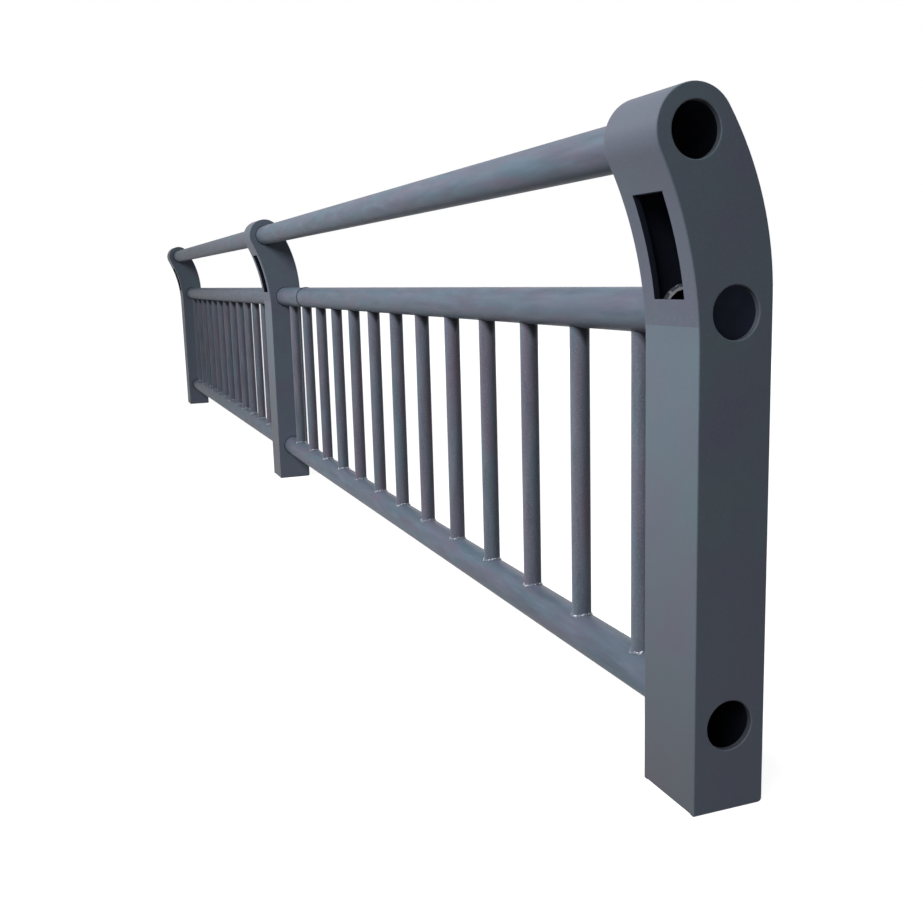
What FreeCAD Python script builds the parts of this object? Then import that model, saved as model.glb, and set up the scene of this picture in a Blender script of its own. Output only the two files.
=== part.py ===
# Bridge guardrail: three hollow posts that lean forward at the top, and two bays of round rails
# with upright balusters between the mid rail and the bottom rail.
# +X runs along the rails, -Y is the side that the posts lean to, +Z is up.
# The origin is the centre of the middle post's foot.

import FreeCAD, Part
import math
import os
import Sketcher
from enum import IntEnum
from FreeCAD import Placement, Rotation, Vector

# Driving sizes, in millimetres
SIZES = [
    ("post_height", 1100),
    ("post_width", 150),
    ("post_depth", 127),
    ("post_plate", 10),
    ("foot_plate", 12),
    ("head_radius", 65),
    ("head_lean", 8),
    ("front_bend_radius", 630),
    ("back_bend_radius", 495),
    ("slot_width", 82),
    ("slot_height", 154),
    ("slot_above_rail", 21),
    ("post_spacing", 3200),
    ("rail_radius", 38),
    ("rail_wall", 4),
    ("rail_entry", 15),
    ("hole_clearance", 2),
    ("mid_rail_drop", 321),
    ("bottom_rail_level", 141),
    ("baluster_radius", 19),
    ("baluster_wall", 3),
    ("baluster_pitch", 231),
    ("first_baluster_gap", 116),
    ("least_last_gap", 100),
]

doc = FreeCAD.newDocument("bridge_guardrail")
sheet = doc.addObject("Spreadsheet::Sheet", "sizes")
for row, (alias, value) in enumerate(SIZES, start=1):
    sheet.set(f"A{row}", alias)
    sheet.set(f"B{row}", str(value))
    sheet.setAlias(f"B{row}", alias)
doc.recompute()

# Levels and places that follow from the driving sizes
HEAD_LEVEL = "(sizes.post_height - sizes.head_radius)"
FRONT_BEND_LEVEL = (
    f"({HEAD_LEVEL} - sqrt((sizes.front_bend_radius + sizes.head_radius)^2"
    " - (sizes.front_bend_radius - sizes.head_lean)^2))"
)
BACK_CENTRE_DEPTH = "(sizes.back_bend_radius - sizes.post_depth)"
BACK_BEND_LEVEL = (
    f"({HEAD_LEVEL} - sqrt((sizes.back_bend_radius - sizes.head_radius)^2"
    f" - ({BACK_CENTRE_DEPTH} - sizes.head_lean)^2))"
)
MID_RAIL_LEVEL = "(sizes.post_height - sizes.mid_rail_drop)"
SLOT_SILL = f"({MID_RAIL_LEVEL} + sizes.slot_above_rail)"
INNER_WIDTH = "(sizes.post_width - 2 * sizes.post_plate)"
RAIL_DEPTH = "(sizes.post_depth / 2)"
FRONT_FACE = "(-sizes.post_depth / 2)"
OPEN_HOLE = "(sizes.rail_radius + sizes.hole_clearance)"
RAIL_HOLE = "sizes.rail_radius"

RIGHT_POST = "sizes.post_spacing"
MIDDLE_POST = "0"
LEFT_POST = "(-sizes.post_spacing)"


def number(expression):
    """The value of an expression over the sheet, for the first shape of a sketch."""
    return float(sheet.evalExpression(expression))


def bind(target, **expressions):
    for path, expression in expressions.items():
        target.setExpression(path.replace("__", "."), expression)


def place(target, x, y, z="0"):
    bind(target, Placement__Base__x=x, Placement__Base__y=y, Placement__Base__z=z)


def origin_plane(body, role):
    return next(item for item in body.Origin.OriginFeatures if item.Role == role)


def new_sketch(body, name, role):
    sketch = body.newObject("Sketcher::SketchObject", name)
    sketch.AttachmentSupport = [(origin_plane(body, role), "")]
    sketch.MapMode = "FlatFace"
    return sketch


def constrain(sketch, kind, *references, size=None):
    """Add one constraint; a size is an expression over the sheet."""
    if size is None:
        sketch.addConstraint(Sketcher.Constraint(kind, *references))
        return
    index = sketch.addConstraint(Sketcher.Constraint(kind, *references, number(size)))
    sketch.setExpression(f"Constraints[{index}]", size)


class At(IntEnum):
    """The points of a sketch's line or arc."""
    START = 1
    END = 2
    CENTRE = 3


START, END, CENTRE = At
HORIZONTAL_AXIS = -1
ORIGIN = (HORIZONTAL_AXIS, START)


def line(sketch, start, end):
    return sketch.addGeometry(Part.LineSegment(Vector(*start, 0), Vector(*end, 0)))


def arc(sketch, centre, radius, start_angle, end_angle):
    circle = Part.Circle(Vector(*centre, 0), Vector(0, 0, 1), radius)
    return sketch.addGeometry(Part.ArcOfCircle(circle, start_angle, end_angle))


def join(sketch, first, first_end, second, second_end):
    constrain(sketch, "Coincident", first, first_end, second, second_end)


def fix_point(sketch, geometry, point, forward, level):
    """Hold a point by its distance in front of the front face and its height."""
    constrain(sketch, "DistanceX", geometry, point, *ORIGIN, size=forward)
    constrain(sketch, "DistanceY", *ORIGIN, geometry, point, size=level)


def polar(centre, radius, angle):
    return (centre[0] + radius * math.cos(angle), centre[1] + radius * math.sin(angle))


def profile_centres():
    """Centres of the front bend, the head and the back bend, and the angles where they meet."""
    front = (-number("sizes.front_bend_radius"), number(FRONT_BEND_LEVEL))
    head = (-number("sizes.head_lean"), number(HEAD_LEVEL))
    back = (-number(BACK_CENTRE_DEPTH), number(BACK_BEND_LEVEL))
    front_angle = math.atan2(head[1] - front[1], head[0] - front[0])
    back_angle = math.atan2(head[1] - back[1], head[0] - back[0])
    return front, head, back, front_angle, back_angle


def pad(body, sketch, name, length):
    feature = body.newObject("PartDesign::Pad", name)
    feature.Profile = sketch
    feature.setExpression("Length", length)
    return feature


def side_plate(label, x, hole):
    """One side of a post, with the post's outline and its three rail holes."""
    front, head, back, front_angle, back_angle = profile_centres()
    depth = number("sizes.post_depth")
    front_radius = number("sizes.front_bend_radius")
    back_radius = number("sizes.back_bend_radius")

    body = doc.addObject("PartDesign::Body", label)
    sketch = new_sketch(body, f"{label}_outline", "YZ_Plane")
    foot = line(sketch, (0, 0), (depth, 0))
    back_edge = line(sketch, (depth, 0), (depth, back[1]))
    back_bend = arc(sketch, back, back_radius, 0, back_angle)
    head_arc = arc(sketch, head, number("sizes.head_radius"), back_angle, math.pi + front_angle)
    front_bend = arc(sketch, front, front_radius, 0, front_angle)
    front_edge = line(sketch, (0, front[1]), (0, 0))

    join(sketch, foot, START, *ORIGIN)
    constrain(sketch, "Horizontal", foot)
    constrain(sketch, "DistanceX", foot, START, foot, END, size="sizes.post_depth")
    join(sketch, foot, END, back_edge, START)
    constrain(sketch, "Vertical", back_edge)
    constrain(sketch, "Tangent", back_edge, END, back_bend, START)
    constrain(sketch, "Tangent", back_bend, END, head_arc, START)
    constrain(sketch, "Tangent", head_arc, END, front_bend, END)
    constrain(sketch, "Tangent", front_bend, START, front_edge, START)
    constrain(sketch, "Vertical", front_edge)
    join(sketch, front_edge, END, foot, START)
    constrain(sketch, "Radius", back_bend, size="sizes.back_bend_radius")
    constrain(sketch, "Radius", head_arc, size="sizes.head_radius")
    constrain(sketch, "Radius", front_bend, size="sizes.front_bend_radius")
    fix_point(sketch, head_arc, CENTRE, "sizes.head_lean", HEAD_LEVEL)

    rail_places = [
        ("sizes.head_lean", HEAD_LEVEL),
        (f"-{RAIL_DEPTH}", MID_RAIL_LEVEL),
        (f"-{RAIL_DEPTH}", "sizes.bottom_rail_level"),
    ]
    for forward, level in rail_places:
        centre = Vector(-number(forward), number(level), 0)
        circle = sketch.addGeometry(Part.Circle(centre, Vector(0, 0, 1), number(hole)))
        constrain(sketch, "Radius", circle, size=hole)
        fix_point(sketch, circle, CENTRE, forward, level)

    pad(body, sketch, f"{label}_pad", "sizes.post_plate")
    place(body, x, FRONT_FACE)
    return body


def bent_strip(body, name, centre, centre_place, radii, angles, start_mark, end_mark):
    """Sketch a strip bent round a centre, which ends on the lines from there to two marks."""
    sketch = new_sketch(body, name, "YZ_Plane")
    outer_radius, inner_radius = (number(radius) for radius in radii)
    outer = arc(sketch, centre, outer_radius, *angles)
    inner = arc(sketch, centre, inner_radius, *angles)
    start_line = line(sketch, polar(centre, inner_radius, angles[0]), polar(centre, outer_radius, angles[0]))
    end_line = line(sketch, polar(centre, inner_radius, angles[1]), polar(centre, outer_radius, angles[1]))
    join(sketch, outer, CENTRE, inner, CENTRE)
    fix_point(sketch, outer, CENTRE, *centre_place)
    constrain(sketch, "Radius", outer, size=radii[0])
    constrain(sketch, "Radius", inner, size=radii[1])
    for edge, side, (forward, level) in ((start_line, START, start_mark), (end_line, END, end_mark)):
        join(sketch, edge, START, inner, side)
        join(sketch, edge, END, outer, side)
        mark = sketch.addGeometry(Part.Point(Vector(-number(forward), number(level), 0)), True)
        fix_point(sketch, mark, START, forward, level)
        constrain(sketch, "PointOnObject", mark, START, edge)
        constrain(sketch, "PointOnObject", outer, CENTRE, edge)
    return sketch


FRONT_BEND_CENTRE = ("sizes.front_bend_radius", FRONT_BEND_LEVEL)
HEAD_CENTRE = ("sizes.head_lean", HEAD_LEVEL)
BACK_BEND_CENTRE = (BACK_CENTRE_DEPTH, BACK_BEND_LEVEL)


def slotted_plate(label, x):
    """The hollow side of the bend, with the tall slot above the mid rail."""
    front, head, back, front_angle, back_angle = profile_centres()
    body = doc.addObject("PartDesign::Body", label)
    radii = ("(sizes.front_bend_radius + sizes.post_plate)", "sizes.front_bend_radius")
    bend_start = ("0", FRONT_BEND_LEVEL)
    sketch = bent_strip(body, f"{label}_bend", front, FRONT_BEND_CENTRE, radii,
                        (0, front_angle), bend_start, HEAD_CENTRE)
    pad(body, sketch, f"{label}_pad", INNER_WIDTH)
    doc.recompute()
    whole = body.Shape.Volume

    slot = new_sketch(body, f"{label}_slot", "XZ_Plane")
    left = number(f"({INNER_WIDTH} - sizes.slot_width) / 2")
    right = left + number("sizes.slot_width")
    bottom = number(SLOT_SILL)
    top = bottom + number("sizes.slot_height")
    sill = line(slot, (left, bottom), (right, bottom))
    right_edge = line(slot, (right, bottom), (right, top))
    lintel = line(slot, (right, top), (left, top))
    left_edge = line(slot, (left, top), (left, bottom))
    edges = (sill, right_edge, lintel, left_edge)
    for edge, following in zip(edges, edges[1:] + edges[:1]):
        join(slot, edge, END, following, START)
    constrain(slot, "Horizontal", sill)
    constrain(slot, "Horizontal", lintel)
    constrain(slot, "Vertical", left_edge)
    constrain(slot, "Vertical", right_edge)
    constrain(slot, "DistanceX", *ORIGIN, sill, START, size=f"({INNER_WIDTH} - sizes.slot_width) / 2")
    constrain(slot, "DistanceY", *ORIGIN, sill, START, size=SLOT_SILL)
    constrain(slot, "DistanceX", sill, START, sill, END, size="sizes.slot_width")
    constrain(slot, "DistanceY", left_edge, END, left_edge, START, size="sizes.slot_height")

    pocket = body.newObject("PartDesign::Pocket", f"{label}_cut")
    pocket.Profile = slot
    pocket.Type = "ThroughAll"
    pocket.Midplane = True
    doc.recompute()
    if not body.Shape.Volume < whole:
        raise RuntimeError(f"the slot of {label} cuts nothing")
    place(body, x, FRONT_FACE)
    return body


def head_cap(label, x):
    """The round top of a post, bent from one strip."""
    front, head, back, front_angle, back_angle = profile_centres()
    body = doc.addObject("PartDesign::Body", label)
    radii = ("sizes.head_radius", "(sizes.head_radius - sizes.post_plate)")
    sketch = bent_strip(body, f"{label}_bend", head, HEAD_CENTRE, radii,
                        (back_angle, math.pi + front_angle), BACK_BEND_CENTRE, FRONT_BEND_CENTRE)
    pad(body, sketch, f"{label}_pad", INNER_WIDTH)
    place(body, x, FRONT_FACE)
    return body


def back_plate(label, x):
    """The back of a post: straight from the foot, then bent up to the head."""
    front, head, back, front_angle, back_angle = profile_centres()
    body = doc.addObject("PartDesign::Body", label)
    radii = ("sizes.back_bend_radius", "(sizes.back_bend_radius - sizes.post_plate)")
    bend_start = ("(-sizes.post_depth)", BACK_BEND_LEVEL)
    bend = bent_strip(body, f"{label}_bend", back, BACK_BEND_CENTRE, radii,
                      (0, back_angle), bend_start, HEAD_CENTRE)
    pad(body, bend, f"{label}_bend_pad", INNER_WIDTH)

    straight = new_sketch(body, f"{label}_straight", "YZ_Plane")
    outer = number("sizes.post_depth")
    inner = outer - number("sizes.post_plate")
    corners = ((inner, 0), (outer, 0), (outer, back[1]), (inner, back[1]))
    edges = [line(straight, corners[i], corners[(i + 1) % 4]) for i in range(4)]
    foot, outer_edge, joint, inner_edge = edges
    for edge, following in zip(edges, edges[1:] + edges[:1]):
        join(straight, edge, END, following, START)
    constrain(straight, "Horizontal", foot)
    constrain(straight, "Horizontal", joint)
    constrain(straight, "Vertical", outer_edge)
    constrain(straight, "Vertical", inner_edge)
    constrain(straight, "PointOnObject", foot, END, HORIZONTAL_AXIS)
    constrain(straight, "DistanceX", *ORIGIN, foot, END, size="sizes.post_depth")
    constrain(straight, "DistanceX", foot, START, foot, END, size="sizes.post_plate")
    constrain(straight, "DistanceY", outer_edge, START, outer_edge, END, size=BACK_BEND_LEVEL)
    pad(body, straight, f"{label}_straight_pad", INNER_WIDTH)
    place(body, x, FRONT_FACE)
    return body


def front_plate(label, x):
    """The straight front of a post, from the foot to the start of the bend."""
    plate = doc.addObject("Part::Box", label)
    bind(plate, Length=INNER_WIDTH, Width="sizes.post_plate", Height=FRONT_BEND_LEVEL)
    place(plate, x, FRONT_FACE)
    return plate


def foot_plate(label, x):
    """The plate that closes the foot, set between the four walls."""
    plate = doc.addObject("Part::Box", label)
    depth = "sizes.post_depth - 2 * sizes.post_plate"
    bind(plate, Length=INNER_WIDTH, Width=depth, Height="sizes.foot_plate")
    place(plate, x, f"{FRONT_FACE} + sizes.post_plate")
    return plate


def post(side, x, left_hole, right_hole):
    left_face = f"({x} - sizes.post_width / 2)"
    left_inner = f"({left_face} + sizes.post_plate)"
    right_inner = f"({x} + sizes.post_width / 2 - sizes.post_plate)"
    return [
        side_plate(f"{side}_post_left_side", left_face, left_hole),
        side_plate(f"{side}_post_right_side", right_inner, right_hole),
        front_plate(f"{side}_post_front_plate", left_inner),
        slotted_plate(f"{side}_post_slotted_plate", left_inner),
        head_cap(f"{side}_post_head_cap", left_inner),
        back_plate(f"{side}_post_back_plate", left_inner),
        foot_plate(f"{side}_post_foot_plate", left_inner),
    ]


ALONG_X = Rotation(Vector(0, 1, 0), Vector(0, 0, 1), Vector(1, 0, 0), "XYZ")


def rod(name, radius, length, x, y, z, rotation=ALONG_X):
    solid = doc.addObject("Part::Cylinder", name)
    bind(solid, Radius=radius, Height=length)
    solid.Placement = Placement(Vector(0, 0, 0), rotation)
    place(solid, x, y, z)
    return solid


def rail(label, x, y, z):
    """A round tube from post to post, which enters each post through its side."""
    length = "(sizes.post_spacing - sizes.post_width + 2 * sizes.rail_entry)"
    tube = doc.addObject("Part::Cut", label)
    tube.Base = rod(f"{label}_outside", "sizes.rail_radius", length, x, y, z)
    tube.Tool = rod(f"{label}_inside", "(sizes.rail_radius - sizes.rail_wall)", length, x, y, z)
    return tube


def balusters(label, right_face, y):
    """The upright tubes of one bay, their ends shaped to sit on the rails."""
    upright = Rotation(0, 0, 0)
    height = f"({MID_RAIL_LEVEL} - sizes.bottom_rail_level)"
    clear = "(sizes.post_spacing - sizes.post_width)"
    room = number(f"{clear} - sizes.first_baluster_gap - sizes.least_last_gap")
    count = 1 + int(room // number("sizes.baluster_pitch"))
    outsides = []
    insides = []
    for index in range(count):
        x = f"({right_face} - sizes.first_baluster_gap - {index} * sizes.baluster_pitch)"
        level = "sizes.bottom_rail_level"
        outsides.append(rod(f"{label}_outside_{index}", "sizes.baluster_radius", height, x, y, level, upright))
        bore = "(sizes.baluster_radius - sizes.baluster_wall)"
        insides.append(rod(f"{label}_inside_{index}", bore, height, x, y, level, upright))

    bars = doc.addObject("Part::MultiFuse", f"{label}_bars")
    bars.Shapes = outsides
    start = f"({right_face} - {clear})"
    cutters = [
        rod(f"{label}_mid_seat", "sizes.rail_radius", clear, start, y, MID_RAIL_LEVEL),
        rod(f"{label}_bottom_seat", "sizes.rail_radius", clear, start, y, "sizes.bottom_rail_level"),
    ]
    hollows = doc.addObject("Part::MultiFuse", f"{label}_hollows")
    hollows.Shapes = insides + cutters
    tubes = doc.addObject("Part::Cut", label)
    tubes.Base = bars
    tubes.Tool = hollows
    return tubes


def bay(side, left_post):
    left_face = f"({left_post} + sizes.post_width / 2)"
    right_face = f"({left_post} + sizes.post_spacing - sizes.post_width / 2)"
    rail_start = f"({left_face} - sizes.rail_entry)"
    middle = f"({FRONT_FACE} + {RAIL_DEPTH})"
    top = f"({FRONT_FACE} - sizes.head_lean)"
    return [
        rail(f"{side}_bay_top_rail", rail_start, top, HEAD_LEVEL),
        rail(f"{side}_bay_mid_rail", rail_start, middle, MID_RAIL_LEVEL),
        rail(f"{side}_bay_bottom_rail", rail_start, middle, "sizes.bottom_rail_level"),
        balusters(f"{side}_bay_balusters", right_face, middle),
    ]


pieces = []
pieces += post("left", LEFT_POST, OPEN_HOLE, RAIL_HOLE)
pieces += post("middle", MIDDLE_POST, RAIL_HOLE, RAIL_HOLE)
pieces += post("right", RIGHT_POST, RAIL_HOLE, OPEN_HOLE)
pieces += bay("left", LEFT_POST)
pieces += bay("right", MIDDLE_POST)
doc.recompute()

for item in doc.Objects:
    if "Invalid" in item.State or "Error" in item.State:
        raise RuntimeError(f"{item.Label} failed: {item.State}")
for piece in pieces:
    if piece.Shape.isNull() or not piece.Shape.isValid():
        raise RuntimeError(f"{piece.Label} has no valid shape")

os.makedirs("parts", exist_ok=True)
for piece in pieces:
    piece.Shape.exportStep(f"parts/{piece.Label}.step")
    box = piece.Shape.BoundBox
    print(piece.Label, len(piece.Shape.Solids), round(piece.Shape.Volume), box)
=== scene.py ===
# Bridge guardrail: three hollow steel posts with round heads that lean over the walkway, and two
# bays of round rails with upright balusters. All of it is welded steel under slate-grey paint.
# +X runs along the rails, -Y is the side that the posts lean to, and +Z is up. Sizes are in metres.

import math

import bmesh
import bpy
from mathutils import Matrix, Vector


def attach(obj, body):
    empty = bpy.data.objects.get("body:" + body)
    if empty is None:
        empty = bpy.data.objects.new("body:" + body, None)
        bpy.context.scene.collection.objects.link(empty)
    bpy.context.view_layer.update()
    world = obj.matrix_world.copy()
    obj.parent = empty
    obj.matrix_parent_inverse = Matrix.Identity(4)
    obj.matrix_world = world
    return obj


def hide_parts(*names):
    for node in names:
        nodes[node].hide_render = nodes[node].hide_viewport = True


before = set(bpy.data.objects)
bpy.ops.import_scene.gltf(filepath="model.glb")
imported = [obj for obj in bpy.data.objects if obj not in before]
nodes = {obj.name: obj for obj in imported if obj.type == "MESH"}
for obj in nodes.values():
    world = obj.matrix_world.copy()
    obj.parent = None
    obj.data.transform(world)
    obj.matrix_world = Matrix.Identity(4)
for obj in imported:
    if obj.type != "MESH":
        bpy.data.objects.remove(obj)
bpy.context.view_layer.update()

# Camera
# It stands in front of the near post's open side, a little below the hand rail, and looks along
# the bays towards the far post.
photo_width = 923
focal_pixels = 1056.8
film_width = 36
camera_place = (4.5811, -0.9301, 0.8413)
heading = math.radians(20.759)
downward = math.radians(9.903)
lean = math.radians(-1.562)

forward = Vector((
    -math.cos(heading) * math.cos(downward),
    math.sin(heading) * math.cos(downward),
    -math.sin(downward),
))
level_right = forward.cross(Vector((0, 0, 1))).normalized()
level_up = level_right.cross(forward)
right = math.cos(lean) * level_right + math.sin(lean) * level_up
up = math.cos(lean) * level_up - math.sin(lean) * level_right

bpy.ops.object.camera_add(location=camera_place)
camera = bpy.context.object
camera.name = "camera"
camera.rotation_euler = Matrix((right, up, -forward)).transposed().to_euler()
camera.data.sensor_width = film_width
camera.data.lens = focal_pixels * film_width / photo_width
camera.data.clip_start = 0.01
bpy.context.scene.camera = camera
bpy.context.scene.view_settings.view_transform = "Standard"


# Slate paint on steel
# Two-pack polyurethane, sprayed over zinc primer on rolled plate. It dries satin, with a faint
# orange peel and slow changes between a bluer and a browner grey where dust and rain marked it.
def linear(code):
    channels = [int(code[i:i + 2], 16) / 255 for i in (1, 3, 5)]
    values = [c / 12.92 if c <= 0.04045 else ((c + 0.055) / 1.055) ** 2.4 for c in channels]
    return (*values, 1)


def add(tree, kind, inputs=None, **settings):
    """Add a shader node with its settings; an input is a value or another node's output."""
    item = tree.nodes.new(kind)
    for name, value in settings.items():
        setattr(item, name, value)
    for name, value in (inputs or {}).items():
        socket = item.inputs[name]
        if isinstance(value, bpy.types.NodeSocket):
            tree.links.new(value, socket)
        else:
            socket.default_value = value
    return item


def new_material(name):
    material = bpy.data.materials.new(name)
    material.use_nodes = True
    tree = material.node_tree
    tree.nodes.clear()
    return material, tree


def mottled(tree, place, period, low, high, detail=3.0):
    """A soft mask from noise whose patches are about one period, in metres, across."""
    noise = add(tree, "ShaderNodeTexNoise", {"Vector": place, "Scale": 1 / period, "Detail": detail})
    ramp = add(tree, "ShaderNodeMapRange", {
        "Value": noise.outputs["Fac"], "From Min": low, "From Max": high})
    return ramp.outputs["Result"]


def blend(tree, factor, first, second):
    """Mix two colours, each a value or another node's output. The node has more than one input of
    the same name, so its colours go in by number, as inputs 6 and 7, and come out as output 2."""
    mix = add(tree, "ShaderNodeMix", data_type="RGBA")
    tree.links.new(factor, mix.inputs["Factor"])
    for slot, value in ((6, first), (7, second)):
        if isinstance(value, bpy.types.NodeSocket):
            tree.links.new(value, mix.inputs[slot])
        else:
            mix.inputs[slot].default_value = value
    return mix.outputs[2]


# A cover is the share of the paint that a mark hides where it is thickest.
satin_roughness = 0.46
dusty_roughness = satin_roughness + 0.15
paint_ior = 1.45
paint_shine = 0.10
streak_cover = 0.6
speck_size = 0.0035
# Where the foot colour starts and its share at the foot; on the front it is painted shade.
foot_tone_top = 0.65
foot_tone_cover = 0.55
# Painted shade under a rail: how dark it gets, where it fades below the rail, and its tongue.
rail_shadow_cover = 0.9
rail_shadow_fade_start = 0.022
rail_shadow_fade_end = 0.040
tongue_middle = 0.003
tongue_slope = 1.6
peel_size = 0.0035
peel_height = 0.0006
peel_strength = 0.15
wave_size = 0.07
wave_height = 0.002
wave_strength = 0.2
second_layer_shift = (5.3, 1.7, 2.9)


def satin_paint(name, slate, green_slate, violet_slate, dust, grain=0.25, patch=0.16, reach=(1, 1, 1),
                foot_tone=None, streaks=(), rail_shadow=None):
    """Slate paint whose hue drifts from patch to patch, with a fine grain of dust and overspray.
    Reach is below 1 along the way that the spray gun and the rain drew the patches out. The foot
    colour, if given, is the one that the paint blends to, more and more towards the foot; on the front
    of a post it is painted shade, darker where less light falls low down. Streaks are the tones of
    narrow marks that hands and rain left. The colour for under a rail, given with the level of the
    rail's underside,
    is painted shade: the shadow that the rail casts on a tube close under it. It hangs down in a short
    tongue."""
    material, tree = new_material(name)
    place = add(tree, "ShaderNodeTexCoord").outputs["Object"]
    drawn = add(tree, "ShaderNodeMapping", {"Vector": place, "Scale": reach}).outputs["Vector"]
    moved = add(tree, "ShaderNodeMapping", {
        "Vector": drawn, "Location": second_layer_shift}).outputs["Vector"]
    greener = mottled(tree, drawn, patch, low=0.42, high=0.68)
    colour = blend(tree, greener, linear(slate), linear(green_slate))
    redder = mottled(tree, moved, 0.8 * patch, low=0.42, high=0.70)
    colour = blend(tree, redder, colour, linear(violet_slate))
    for tone, source in zip(streaks, (drawn, moved)):
        mark = mottled(tree, source, 0.45 * patch, low=0.48, high=0.80)
        mark = add(tree, "ShaderNodeMath", {0: mark, 1: streak_cover}, operation="MULTIPLY").outputs[0]
        colour = blend(tree, mark, colour, linear(tone))
    speck = mottled(tree, place, speck_size, low=0.50, high=0.78, detail=1.0)
    share = add(tree, "ShaderNodeMath", {0: speck, 1: grain}, operation="MULTIPLY").outputs[0]
    colour = blend(tree, share, colour, linear(dust))
    # The foot colour; on the front of a post it is painted shade, darker low down.
    if foot_tone:
        height = add(tree, "ShaderNodeSeparateXYZ", {"Vector": place}).outputs["Z"]
        thickness = add(tree, "ShaderNodeMapRange", {
            "Value": height, "From Min": foot_tone_top, "From Max": 0.0, "To Max": foot_tone_cover,
        }).outputs["Result"]
        colour = blend(tree, thickness, colour, linear(foot_tone))
    # Painted shade: the shadow of a rail on the tubes under it, a dark tongue below its underside.
    if rail_shadow:
        tone, underside = rail_shadow
        parts = add(tree, "ShaderNodeSeparateXYZ", {"Vector": place}).outputs
        aside = add(tree, "ShaderNodeMath", {0: parts["Y"], 1: tongue_middle}, operation="SUBTRACT")
        aside = add(tree, "ShaderNodeMath", {0: aside.outputs[0]}, operation="ABSOLUTE")
        tongue = add(tree, "ShaderNodeMath", {
            0: aside.outputs[0], 1: -tongue_slope, 2: parts["Z"]}, operation="MULTIPLY_ADD")
        cover = add(tree, "ShaderNodeMapRange", {
            "Value": tongue.outputs[0], "To Max": rail_shadow_cover,
            "From Min": underside - rail_shadow_fade_end, "From Max": underside - rail_shadow_fade_start,
        }).outputs["Result"]
        colour = blend(tree, cover, colour, linear(tone))
    peel = add(tree, "ShaderNodeTexNoise", {"Vector": place, "Scale": 1 / peel_size, "Detail": 2.0})
    wave = add(tree, "ShaderNodeTexNoise", {"Vector": place, "Scale": 1 / wave_size, "Detail": 1.0})
    fine = add(tree, "ShaderNodeBump", {
        "Height": peel.outputs["Fac"], "Strength": peel_strength, "Distance": peel_height})
    bump = add(tree, "ShaderNodeBump", {
        "Height": wave.outputs["Fac"], "Normal": fine.outputs["Normal"],
        "Strength": wave_strength, "Distance": wave_height})
    rough = add(tree, "ShaderNodeMapRange", {
        "Value": speck, "To Min": satin_roughness, "To Max": dusty_roughness})
    shader = add(tree, "ShaderNodeBsdfPrincipled", {
        "Base Color": colour, "Roughness": rough.outputs["Result"], "Normal": bump.outputs["Normal"],
        "IOR": paint_ior, "Specular IOR Level": paint_shine,
    })
    add(tree, "ShaderNodeOutputMaterial", {"Surface": shader.outputs["BSDF"]})
    return material


# Towards the foot the sides of a post turn paler and bluer, and the front darker and browner, as
# painted shade for the light that falls off low down the front.
post_paint = satin_paint(
    "slate_polyurethane_on_plate", "#65717f", "#62747d", "#666b7d", "#7f858c", foot_tone="#767d90")
front_paint = satin_paint(
    "slate_polyurethane_shaded_to_foot", "#687481", "#647780", "#6b707f", "#7f858c", foot_tone="#50484e")
# The bend and the head get no foot colour, and a more violet, darker slate: painted shade for the
# bend.
bend_paint = satin_paint("slate_polyurethane_on_bend", "#616775", "#5f6a75", "#636476", "#7f858c")
# The walls of the rail holes get a darker slate.
hole_wall_paint = satin_paint("darker_slate_in_holes", "#4f555e", "#4b5459", "#4f525b", "#656970")
# On the rails the patches are drawn out along the tube, with paler and darker streaks.
rail_paint = satin_paint(
    "slate_polyurethane_on_rail", "#5c6978", "#576c7b", "#686577", "#757a85",
    grain=0.3, patch=0.04, reach=(0.15, 1, 1), streaks=("#717f8f", "#4d525e"))


# Mill scale, darkened as painted shade
# The blue-black skin of hot-rolled steel. It is left bare on the inside of the posts and the rails
# and on the walls of the slots, where no spray reaches. Its near-black tone is also painted shade,
# for the unlit insides of the posts and rails and for the slot walls.
scale_patch_size = 0.02
scale_and_shade_steel, scale_tree = new_material("mill_scale_and_painted_shade")
scale_place = add(scale_tree, "ShaderNodeTexCoord").outputs["Object"]
scale_patches = mottled(scale_tree, scale_place, scale_patch_size, low=0.4, high=0.7)
scale_and_shade_colour = blend(scale_tree, scale_patches, linear("#1c2130"), linear("#22242f"))
scale_shader = add(scale_tree, "ShaderNodeBsdfPrincipled", {
    "Base Color": scale_and_shade_colour, "Roughness": 0.8, "Specular IOR Level": 0.1})
add(scale_tree, "ShaderNodeOutputMaterial", {"Surface": scale_shader.outputs["BSDF"]})


# Post outline
# Every plate of a post follows one outline. The front rises straight and then curves forward, the
# head is a half round about the top rail, and the back curves down again to the straight shank.
post_height = 1.100
post_width = 0.150
post_depth = 0.127
post_spacing = 3.2
plate = 0.010
inner_width = post_width - 2 * plate
front_face = -post_depth / 2
back_face = post_depth / 2
head_radius = 0.065
head_overhang = 0.008
front_radius = 0.630
back_radius = 0.495
head_centre = Vector((0, front_face - head_overhang, post_height - head_radius))
front_centre = Vector((0, front_face - front_radius, 0))
back_centre = Vector((0, back_face - back_radius, 0))
front_centre.z = head_centre.z - math.sqrt(
    (front_radius + head_radius) ** 2 - (head_centre.y - front_centre.y) ** 2)
back_centre.z = head_centre.z - math.sqrt(
    (back_radius - head_radius) ** 2 - (head_centre.y - back_centre.y) ** 2)
front_angle = math.atan2(head_centre.z - front_centre.z, head_centre.y - front_centre.y)
back_angle = math.atan2(head_centre.z - back_centre.z, head_centre.y - back_centre.y)
seam_level = 0.760
seam_angle = math.asin((seam_level - front_centre.z) / front_radius)
seam_point = front_centre + Vector((0, math.cos(seam_angle), math.sin(seam_angle))) * front_radius
head_start = head_centre + Vector((0, -math.cos(front_angle), -math.sin(front_angle))) * head_radius
head_end = head_centre + Vector((0, math.cos(back_angle), math.sin(back_angle))) * head_radius
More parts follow.
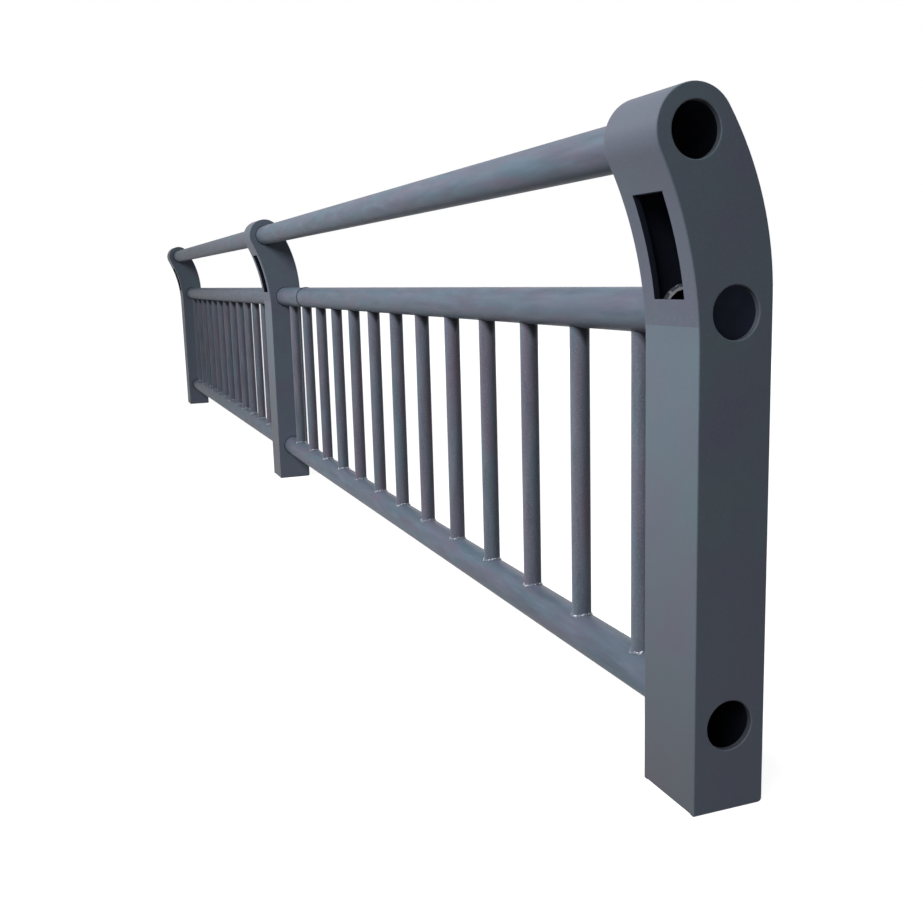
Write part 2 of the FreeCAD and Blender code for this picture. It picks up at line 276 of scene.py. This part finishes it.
post_places = {"left": -post_spacing, "middle": 0.0, "right": post_spacing}
sharp_angle = math.radians(30)
smooth_angle = math.radians(40)
touching = 0.0002
square_on = 0.9


def begin_point(name, x, y, z):
    """Start a piece from a small plane, drawn together into one point."""
    bpy.ops.object.select_all(action="DESELECT")
    bpy.ops.mesh.primitive_plane_add(size=0.01, location=(x, y, z))
    piece = bpy.context.object
    piece.name = name
    bpy.ops.object.transform_apply(location=True, rotation=True, scale=True)
    bpy.ops.object.mode_set(mode="EDIT")
    bpy.ops.mesh.select_mode(type="VERT")
    bpy.ops.mesh.select_all(action="SELECT")
    bpy.ops.mesh.merge(type="CENTER")
    return piece


def rise(height):
    bpy.ops.mesh.extrude_vertices_move(TRANSFORM_OT_translate={"value": (0, 0, height)})


def curve(x, centre, angle, steps):
    """Carry the outline round a centre; a positive angle leans it back from the walkway."""
    bpy.ops.mesh.spin(steps=steps, angle=angle, center=(x, centre.y, centre.z), axis=(1, 0, 0))


def draw_front(x):
    rise(front_centre.z)
    curve(x, front_centre, -seam_angle, steps=3)


def draw_front_bend(x):
    curve(x, front_centre, seam_angle - front_angle, steps=14)


def draw_head(x):
    curve(x, head_centre, math.pi + front_angle - back_angle, steps=48)


def draw_back(x):
    curve(x, back_centre, back_angle, steps=16)
    rise(-back_centre.z)


def finish_surface(piece):
    """Smooth a piece up to its sharp edges and keep its flat faces flat."""
    bpy.ops.object.select_all(action="DESELECT")
    piece.select_set(True)
    bpy.context.view_layer.objects.active = piece
    bpy.ops.object.shade_smooth_by_angle(angle=smooth_angle)
    weighted = piece.modifiers.new("flat faces", "WEIGHTED_NORMAL")
    weighted.keep_sharp = True
    bpy.ops.object.modifier_apply(modifier=weighted.name)


def cut_with(piece, cutter):
    """Cut one piece with another and delete the cutter."""
    bpy.ops.object.select_all(action="DESELECT")
    piece.select_set(True)
    bpy.context.view_layer.objects.active = piece
    cut = piece.modifiers.new("cut", "BOOLEAN")
    cut.operation = "DIFFERENCE"
    cut.solver = "EXACT"
    cut.object = cutter
    bpy.ops.object.modifier_apply(modifier=cut.name)
    bpy.data.objects.remove(cutter)


def soften(piece, width, steps, wanted):
    """Round the edges for which wanted says yes."""
    bpy.context.view_layer.objects.active = piece
    bpy.ops.object.mode_set(mode="EDIT")
    bpy.ops.mesh.select_mode(type="EDGE")
    bpy.ops.mesh.select_all(action="DESELECT")
    mesh = bmesh.from_edit_mesh(piece.data)
    for edge in mesh.edges:
        sharp = edge.is_manifold and edge.calc_face_angle(0) > sharp_angle
        edge.select_set(sharp and wanted(edge.verts[0].co, edge.verts[1].co))
    bmesh.update_edit_mesh(piece.data)
    bpy.ops.mesh.bevel(offset=width, segments=steps, affect="EDGES", clamp_overlap=True)
    bpy.ops.object.mode_set(mode="OBJECT")


def close(first, second):
    return abs(first - second) < touching


def along_foot(a, b, face):
    """Does an edge run along the foot, in the front or the back face?"""
    return close(a.z, 0) and close(b.z, 0) and close(a.y, face) and close(b.y, face)


def hand_over(piece, slot, *replaced):
    """Fix a finished piece to the railing and hide the CAD piece it replaces; its slot is not used."""
    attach(piece, "root")
    if replaced:
        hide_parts(*replaced)


# Post sides
# Each side of a post is flame-cut from 10 mm plate. Three holes take the rails: they fit the tube
# where a bay is welded on, and are 2 mm wider all round where the next bay is still to come.
mid_level = 0.779
bottom_level = 0.141
rail_places = {
    "top": (head_centre.y, head_centre.z),
    "mid": (0.0, mid_level),
    "bottom": (0.0, bottom_level),
}
rail_radius = 0.038
open_radius = 0.040
outline_rounding = 0.0022
lip_rounding = 0.0025
corner_rounding = 0.007


def side_plate(name, inner_face, outward, hole_radius):
    """Cut one side of a post; outward is -1 for its left side and 1 for its right one."""
    outer_face = inner_face + outward * plate
    piece = begin_point(name, inner_face, front_face, 0)
    draw_front(inner_face)
    draw_front_bend(inner_face)
    draw_head(inner_face)
    draw_back(inner_face)
    mesh = bmesh.from_edit_mesh(piece.data)
    bpy.ops.mesh.select_all(action="DESELECT")
    for vertex in mesh.verts:
        vertex.select_set(close(vertex.co.z, 0))
    bmesh.update_edit_mesh(piece.data)
    bpy.ops.mesh.edge_face_add()
    bpy.ops.mesh.select_all(action="SELECT")
    bpy.ops.mesh.edge_face_add()
    bpy.ops.mesh.extrude_region_move(TRANSFORM_OT_translate={"value": (outward * plate, 0, 0)})
    bpy.ops.mesh.select_all(action="SELECT")
    bpy.ops.mesh.normals_make_consistent(inside=False)
    bpy.ops.object.mode_set(mode="OBJECT")

    bpy.ops.object.select_all(action="DESELECT")
    drills = []
    for y, z in rail_places.values():
        bpy.ops.mesh.primitive_cylinder_add(
            vertices=80, radius=hole_radius, depth=4 * plate,
            location=(inner_face, y, z), rotation=(0, math.pi / 2, 0))
        drills.append(bpy.context.object)
    for drill in drills:
        drill.select_set(True)
    bpy.ops.object.join()
    cut_with(piece, bpy.context.object)

    def from_hole(point):
        return min(math.hypot(point.y - y, point.z - z) for y, z in rail_places.values())

    def at_lip(point):
        return close(from_hole(point), hole_radius)

    def outside(a, b):
        return close(a.x, outer_face) and close(b.x, outer_face)

    soften(piece, corner_rounding, 4, lambda a, b: along_foot(a, b, back_face))
    soften(piece, outline_rounding, 3, lambda a, b: outside(a, b) and not at_lip(a))
    soften(piece, lip_rounding, 3, lambda a, b: outside(a, b) and at_lip(a))
    finish_surface(piece)
    finishes = (post_paint, scale_and_shade_steel, bend_paint, front_paint, hole_wall_paint)
    for finish in finishes:
        piece.data.materials.append(finish)
    for face in piece.data.polygons:
        middle = face.center
        on_edge = abs(face.normal.x) < 0.5
        if face.normal.x * outward < -square_on:
            face.material_index = finishes.index(scale_and_shade_steel)
        elif from_hole(middle) < hole_radius + touching:
            face.material_index = finishes.index(hole_wall_paint)
        elif on_edge and middle.z > seam_level and (face.normal.y < 0 or middle.z > head_end.z):
            face.material_index = finishes.index(bend_paint)
        elif on_edge and face.normal.y < 0:
            face.material_index = finishes.index(front_paint)
    hand_over(piece, "post_paint", name.replace("_sheet", ""))


for side, x in post_places.items():
    left_hole = open_radius if side == "left" else rail_radius
    right_hole = open_radius if side == "right" else rail_radius
    side_plate(f"{side}_post_left_side_sheet", x - inner_width / 2, -1, left_hole)
    side_plate(f"{side}_post_right_side_sheet", x + inner_width / 2, 1, right_hole)


# Post wrap
# Strips of the same plate close the post between its sides: a straight front, the slotted bend
# above it, the round head and the back. Their seams were welded and ground flush.
slot_width = 0.082
slot_sill = 0.800
slot_height = 0.154
slot_rounding = 0.0010
slot_margin = 0.0003
slot_cutter_depth = 0.3


def wrap_strip(name, x, start, draw, middle, paint):
    """Draw a strip along the outline and thicken it towards a point in the middle of the post."""
    left = x - inner_width / 2
    piece = begin_point(name, left, start.y, start.z)
    draw(left)
    bpy.ops.mesh.select_all(action="SELECT")
    bpy.ops.mesh.extrude_region_move(TRANSFORM_OT_translate={"value": (inner_width, 0, 0)})
    bpy.ops.mesh.select_all(action="SELECT")
    bpy.ops.mesh.normals_make_consistent(inside=False)
    bpy.ops.object.mode_set(mode="OBJECT")
    first = piece.data.polygons[0]
    if first.normal.dot(first.center - middle) < 0:
        piece.data.flip_normals()
    for finish in (paint, scale_and_shade_steel):
        piece.data.materials.append(finish)
    wall = piece.modifiers.new("plate thickness", "SOLIDIFY")
    wall.thickness = plate
    wall.offset = -1
    wall.use_even_offset = True
    wall.material_offset = 1
    bpy.ops.object.modifier_apply(modifier=wall.name)
    return piece


def at_slot(point, x):
    """Is a point on the rim of the slot, on the outside of the bend?"""
    from_bend = math.hypot(point.y - front_centre.y, point.z - front_centre.z)
    return abs(point.x - x) < slot_width / 2 + slot_rounding and close(from_bend, front_radius)


for side, x in post_places.items():
    foot_front = Vector((x, front_face, 0))
    shank_middle = Vector((x, 0, post_height / 2))
    bend_middle = Vector((x, 0, head_centre.z))
    head_middle = Vector((x, head_centre.y, head_centre.z))
    straight = wrap_strip(
        f"{side}_post_front_strip", x, foot_front, draw_front, shank_middle, front_paint)
    soften(straight, outline_rounding, 3, lambda a, b: along_foot(a, b, front_face))
    finish_surface(straight)
    hand_over(straight, "post_paint", f"{side}_post_front_plate")

    bend = wrap_strip(
        f"{side}_post_slotted_strip", x, seam_point, draw_front_bend, bend_middle, bend_paint)
    slot_middle = Vector((x, front_face, slot_sill + slot_height / 2))
    bpy.ops.object.select_all(action="DESELECT")
    bpy.ops.mesh.primitive_cube_add(
        size=1, location=slot_middle, scale=(slot_width, slot_cutter_depth, slot_height))
    cut_with(bend, bpy.context.object)
    soften(bend, slot_rounding, 2, lambda a, b: at_slot(a, x) and at_slot(b, x))
    # The slot walls take the mill scale, near black as painted shade.
    for face in bend.data.polygons:
        inside = abs(face.center.x - x) < slot_width / 2 + slot_margin
        inside = inside and abs(face.center.z - slot_middle.z) < slot_height / 2 + slot_margin
        if inside and max(abs(face.normal.x), abs(face.normal.z)) > square_on:
            face.material_index = 1
    finish_surface(bend)
    hand_over(bend, "post_paint", f"{side}_post_slotted_plate")

    cap = wrap_strip(f"{side}_post_head_strip", x, head_start, draw_head, head_middle, bend_paint)
    finish_surface(cap)
    hand_over(cap, "post_paint", f"{side}_post_head_cap")

    back = wrap_strip(f"{side}_post_back_strip", x, head_end, draw_back, shank_middle, post_paint)
    finish_surface(back)
    hand_over(back, "post_paint", f"{side}_post_back_plate")


# Foot plates
# A plate closes each foot inside its four walls. It stays bare and is hardly ever seen.
for side in post_places:
    foot_materials = nodes[f"{side}_post_foot_plate"].data.materials
    foot_materials.clear()
    foot_materials.append(scale_and_shade_steel)


# Rails
# Three round tubes to a bay, 76 mm across with a 4 mm wall, sawn square. They pass through the
# side plates by 5 mm and are welded all round. The ends inside the posts are coloured near white:
# partly bright sawn steel, partly a painted glint where light catches them through the slot.
rail_wall = 0.004
rail_entry = 0.015
clear_length = post_spacing - post_width
bay_starts = {
    "left": post_places["left"] + post_width / 2,
    "right": post_places["middle"] + post_width / 2,
}

# Freshly sawn steel, nearly white as bare metal and as a painted glint, with a little of a metal's
# sheen.
saw_mark_size = 0.004
sawn_steel_and_glint, sawn_tree = new_material("bare_sawn_edge_painted_glint")
sawn_place = add(sawn_tree, "ShaderNodeTexCoord").outputs["Object"]
saw_marks = mottled(sawn_tree, sawn_place, saw_mark_size, low=0.4, high=0.6)
sawn_and_glint_colour = blend(sawn_tree, saw_marks, linear("#dfe1e6"), linear("#f4f5f8"))
sawn_shader = add(sawn_tree, "ShaderNodeBsdfPrincipled", {
    "Base Color": sawn_and_glint_colour, "Roughness": 0.45, "Metallic": 0.5})
add(sawn_tree, "ShaderNodeOutputMaterial", {"Surface": sawn_shader.outputs["BSDF"]})


def rail(name, start, y, z):
    """Draw one tube from its left end, and leave what the posts hide of it unpainted; its ends and the
    outside near them get the near-white sawn steel, partly a painted glint.
    """
    bpy.ops.object.select_all(action="DESELECT")
    bpy.ops.mesh.primitive_circle_add(
        vertices=96, radius=rail_radius, fill_type="NOTHING",
        location=(start, y, z), rotation=(0, math.pi / 2, 0))
    piece = bpy.context.object
    piece.name = name
    bpy.ops.object.transform_apply(location=True, rotation=True, scale=True)
    length = clear_length + 2 * rail_entry
    bpy.ops.object.mode_set(mode="EDIT")
    bpy.ops.mesh.select_all(action="SELECT")
    for stretch in (rail_entry, clear_length, rail_entry):
        bpy.ops.mesh.extrude_region_move(TRANSFORM_OT_translate={"value": (stretch, 0, 0)})
    bpy.ops.mesh.select_all(action="SELECT")
    bpy.ops.mesh.normals_make_consistent(inside=False)
    bpy.ops.object.mode_set(mode="OBJECT")
    first = piece.data.polygons[0]
    if first.normal.dot(first.center - Vector((first.center.x, y, z))) < 0:
        piece.data.flip_normals()
    for finish in (rail_paint, scale_and_shade_steel, sawn_steel_and_glint):
        piece.data.materials.append(finish)
    wall = piece.modifiers.new("tube wall", "SOLIDIFY")
    wall.thickness = rail_wall
    wall.offset = -1
    wall.material_offset = 1
    wall.material_offset_rim = 2
    bpy.ops.object.modifier_apply(modifier=wall.name)
    for face in piece.data.polygons:
        from_end = min(face.center.x - start, start + length - face.center.x)
        around = Vector((0, face.center.y - y, face.center.z - z))
        if from_end < rail_entry and face.normal.dot(around) > 0.5 * rail_radius:
            face.material_index = 2
    finish_surface(piece)
    return piece


for side, left_face in bay_starts.items():
    for level, (y, z) in rail_places.items():
        tube = rail(f"{side}_{level}_tube", left_face - rail_entry, y, z)
        hand_over(tube, "rail_paint", f"{side}_bay_{level}_rail")


# Balusters
# Thirteen 38 mm tubes stand between the mid and bottom rails of a bay, 231 mm apart. Their ends
# are cut hollow to sit on the rails.
baluster_radius = 0.019
baluster_pitch = 0.231
baluster_count = 13
first_gap = 0.116
cutter_length = 0.2
first_baluster = post_places["right"] - post_width / 2 - first_gap

bpy.ops.object.select_all(action="DESELECT")
bpy.ops.mesh.primitive_cylinder_add(
    vertices=48, radius=baluster_radius, depth=mid_level - bottom_level,
    location=(first_baluster, 0, (mid_level + bottom_level) / 2))
baluster = bpy.context.object
bpy.ops.object.transform_apply(location=True, rotation=True, scale=True)
for level in (mid_level, bottom_level):
    bpy.ops.object.select_all(action="DESELECT")
    bpy.ops.mesh.primitive_cylinder_add(
        vertices=96, radius=rail_radius, depth=cutter_length,
        location=(first_baluster, 0, level), rotation=(0, math.pi / 2, 0))
    cut_with(baluster, bpy.context.object)


def along_bay(piece):
    """Repeat a piece for every baluster of the bay."""
    bpy.ops.object.select_all(action="DESELECT")
    piece.select_set(True)
    bpy.context.view_layer.objects.active = piece
    row = piece.modifiers.new("balusters", "ARRAY")
    row.count = baluster_count
    row.use_relative_offset = False
    row.use_constant_offset = True
    row.constant_offset_displace = (-baluster_pitch, 0, 0)
    bpy.ops.object.modifier_apply(modifier=row.name)


def copy_to_left_bay(piece, name):
    bpy.ops.object.select_all(action="DESELECT")
    piece.select_set(True)
    bpy.context.view_layer.objects.active = piece
    bpy.ops.object.duplicate()
    copy = bpy.context.object
    copy.name = name
    bpy.ops.transform.translate(value=(-post_spacing, 0, 0))
    bpy.ops.object.transform_apply(location=True, rotation=True, scale=True)
    return copy


# A little paler than the rails, with upright streaks, and painted shade close under the mid rail:
# a dark tongue for the shadow that the rail casts on the tubes.
baluster_paint = satin_paint(
    "slate_polyurethane_on_baluster", "#6a7282", "#637680", "#756b7c", "#94989f",
    grain=0.35, patch=0.04, reach=(1, 1, 0.15),
    streaks=("#7c8690", "#525664"), rail_shadow=("#1d1f25", mid_level - rail_radius))
baluster.data.materials.append(baluster_paint)
baluster.name = "right_baluster_tubes"
along_bay(baluster)
finish_surface(baluster)
left_balusters = copy_to_left_bay(baluster, "left_baluster_tubes")
hand_over(baluster, "baluster_paint", "right_bay_balusters")
hand_over(left_balusters, "baluster_paint", "left_bay_balusters")


# Baluster welds
# A fillet weld runs round each end of a baluster. The lower ones are lumpy and their paint has
# worn off the high spots, so pale weld metal shows. The upper ones are small and dark, with dirt
# and painted shade under the rail.
bead_radius = 0.0028
bead_ripple = 0.0018
bead_sink = 0.0006
worn_bead_radius = 0.0036
worn_bead_ripple = 0.0030
lump_size = 0.006

# Darkened paint for welds: street dirt and painted shade together, so a joint reads as a thin dark
# ring.
dirt_and_shade_paint = satin_paint("slate_polyurethane_on_weld", "#363c45", "#343c40", "#373940", "#4a4e56")

# Bare weld metal between flakes of paint: pale spots with hard edges.
weld_metal, weld_tree = new_material("worn_weld_bead")
weld_place = add(weld_tree, "ShaderNodeTexCoord").outputs["Object"]
weld_mask = mottled(weld_tree, weld_place, lump_size, low=0.53, high=0.58)
weld_colour = blend(weld_tree, weld_mask, linear("#5f6875"), linear("#cfd3dc"))
weld_shader = add(weld_tree, "ShaderNodeBsdfPrincipled", {
    "Base Color": weld_colour, "Roughness": 0.45})
add(weld_tree, "ShaderNodeOutputMaterial", {"Surface": weld_shader.outputs["BSDF"]})

lumps = bpy.data.textures.new("weld lumps", "CLOUDS")
lumps.noise_scale = lump_size
lumps.noise_depth = 1


def roughen(piece, height):
    """Raise the ripples of a weld bead."""
    bpy.context.view_layer.objects.active = piece
    ripple = piece.modifiers.new("ripples", "DISPLACE")
    ripple.texture = lumps
    ripple.texture_coords = "LOCAL"
    ripple.strength = height
    bpy.ops.object.modifier_apply(modifier=ripple.name)
    bpy.ops.object.shade_smooth()


def baluster_weld(name, level, direction, paint, size, height):
    """Lay a bead round a baluster's end; direction is 1 on top of a rail and -1 under it."""
    bpy.ops.object.select_all(action="DESELECT")
    bpy.ops.mesh.primitive_torus_add(
        major_radius=baluster_radius - bead_sink, minor_radius=size,
        major_segments=64, minor_segments=10,
        location=(first_baluster, 0, level + direction * rail_radius))
    bead = bpy.context.object
    bead.name = name
    bpy.ops.object.transform_apply(location=True, rotation=True, scale=True)
    for vertex in bead.data.vertices:
        across = min(abs(vertex.co.y), baluster_radius)
        vertex.co.z -= direction * (rail_radius - math.sqrt(rail_radius ** 2 - across ** 2))
    bead.data.materials.append(paint)
    along_bay(bead)
    roughen(bead, height)
    return bead


for end, level, direction, paint, size, height in (
        ("lower", bottom_level, 1, weld_metal, worn_bead_radius, worn_bead_ripple),
        ("upper", mid_level, -1, dirt_and_shade_paint, bead_radius, bead_ripple)):
    beads = baluster_weld(f"right_{end}_baluster_welds", level, direction, paint, size, height)
    left_beads = copy_to_left_bay(beads, f"left_{end}_baluster_welds")
    hand_over(beads, "baluster_paint")
    hand_over(left_beads, "baluster_paint")


# Rail welds
# Each rail is welded all round to the outside of its side plates, and tacked inside them. The mid
# rail of the near bay is spliced from two lengths, with one ground butt weld.
rail_bead_lift = 0.0005
rail_bead_ripple = 0.001
tack_radius = 0.0040
tack_ripple = 0.003
splice_place = 0.468
splice_radius = 0.0018
splice_ripple = 0.0008


def rail_weld(name, x, y, z, paint, size, height):
    bpy.ops.object.select_all(action="DESELECT")
    bpy.ops.mesh.primitive_torus_add(
        major_radius=rail_radius + rail_bead_lift, minor_radius=size,
        major_segments=96, minor_segments=12,
        location=(x, y, z), rotation=(0, math.pi / 2, 0))
    bead = bpy.context.object
    bead.name = name
    bpy.ops.object.transform_apply(location=True, rotation=True, scale=True)
    bead.data.materials.append(paint)
    roughen(bead, height)
    hand_over(bead, "rail_paint")


for side, left_face in bay_starts.items():
    right_face = left_face + clear_length
    weld_places = {"left": left_face, "right": right_face}
    tack_places = {"left": left_face - plate, "right": right_face + plate}
    for level, (y, z) in rail_places.items():
        # The outer beads take the darkened paint: dirt and painted shade where a rail enters its post.
        for end, x in weld_places.items():
            rail_weld(
                f"{side}_{level}_rail_{end}_weld", x, y, z,
                dirt_and_shade_paint, bead_radius, rail_bead_ripple)
        for end, x in tack_places.items():
            rail_weld(
                f"{side}_{level}_rail_{end}_tack", x, y, z,
                weld_metal, tack_radius, tack_ripple)

rail_weld(
    "right_mid_rail_splice", splice_place, *rail_places["mid"],
    dirt_and_shade_paint, splice_radius, splice_ripple)


# Floor
# A pale, plain floor under the feet of the posts. It is seen as white, with the soft shadow of
# the railing on it, and it reflects no more light onto the steel than dry ground would.
floor_size = 80
shadow_zone = 3.0
white_zone = 6.5
shadow_zone_glow = 0.85


def seen_directly(tree):
    """A mask that is 1 for camera, glossy and transmission rays and 0 for other bounced light."""
    path = add(tree, "ShaderNodeLightPath").outputs
    seen = add(tree, "ShaderNodeMath", {
        0: path["Is Camera Ray"], 1: path["Is Glossy Ray"]}, operation="MAXIMUM")
    seen = add(tree, "ShaderNodeMath", {
        0: seen.outputs[0], 1: path["Is Transmission Ray"]}, operation="MAXIMUM")
    return seen.outputs[0]


bpy.ops.object.select_all(action="DESELECT")
bpy.ops.mesh.primitive_plane_add(size=floor_size, location=(0, 0, 0))
floor = bpy.context.object
floor.name = "floor"
floor_finish, floor_tree = new_material("pale_floor")
floor_place = add(floor_tree, "ShaderNodeTexCoord").outputs["Object"]
distance = add(floor_tree, "ShaderNodeVectorMath", {0: floor_place}, operation="LENGTH")
glow = add(floor_tree, "ShaderNodeMapRange", {
    "Value": distance.outputs["Value"], "From Min": shadow_zone, "From Max": white_zone,
    "To Min": shadow_zone_glow, "To Max": 1.0})
white = add(floor_tree, "ShaderNodeEmission", {"Strength": glow.outputs["Result"]})
lit = add(floor_tree, "ShaderNodeBsdfDiffuse", {"Color": linear("#c8c8c8")})
pale = add(floor_tree, "ShaderNodeAddShader", {0: white.outputs[0], 1: lit.outputs[0]})
ground = add(floor_tree, "ShaderNodeBsdfDiffuse", {"Color": linear("#5a493d")})
floor_mix = add(floor_tree, "ShaderNodeMixShader", {
    0: seen_directly(floor_tree), 1: ground.outputs[0], 2: pale.outputs[0]})
add(floor_tree, "ShaderNodeOutputMaterial", {"Surface": floor_mix.outputs[0]})
floor.data.materials.append(floor_finish)


# Light
# One long soft panel hangs high in front of the railing, and a dimmer one behind it shows its
# back. The world is white where it is seen, and dim as a light, so that the faces that look along
# the rails stay dark.
world_glow = 0.135


def hang_panel(name, place, aim, length, width, power):
    """Hang a soft panel, out of the camera's sight, that faces a point of the railing."""
    bpy.ops.object.light_add(type="AREA", location=place)
    lamp = bpy.context.object
    lamp.name = name
    lamp.data.shape = "RECTANGLE"
    lamp.data.size = length
    lamp.data.size_y = width
    lamp.data.energy = power
    lamp.rotation_euler = (Vector(aim) - lamp.location).to_track_quat("-Z", "Y").to_euler()
    lamp.visible_camera = False


hang_panel(
    "long panel", place=(2.8, -2.5, 2.5), aim=(2.8, 0, 0.8), length=7.0, width=1.2, power=181)
hang_panel(
    "back panel", place=(-3.0, 5.5, 2.4), aim=(-1.0, 0, 0.5), length=10.0, width=2.5, power=130)

world = bpy.data.worlds.new("studio")
bpy.context.scene.world = world
world.use_nodes = True
world_tree = world.node_tree
world_tree.nodes.clear()
strength = add(world_tree, "ShaderNodeMapRange", {
    "Value": seen_directly(world_tree), "To Min": world_glow, "To Max": 1.0})
sky = add(world_tree, "ShaderNodeBackground", {
    "Color": linear("#ffffff"), "Strength": strength.outputs["Result"]})
add(world_tree, "ShaderNodeOutputWorld", {"Surface": sky.outputs["Background"]})
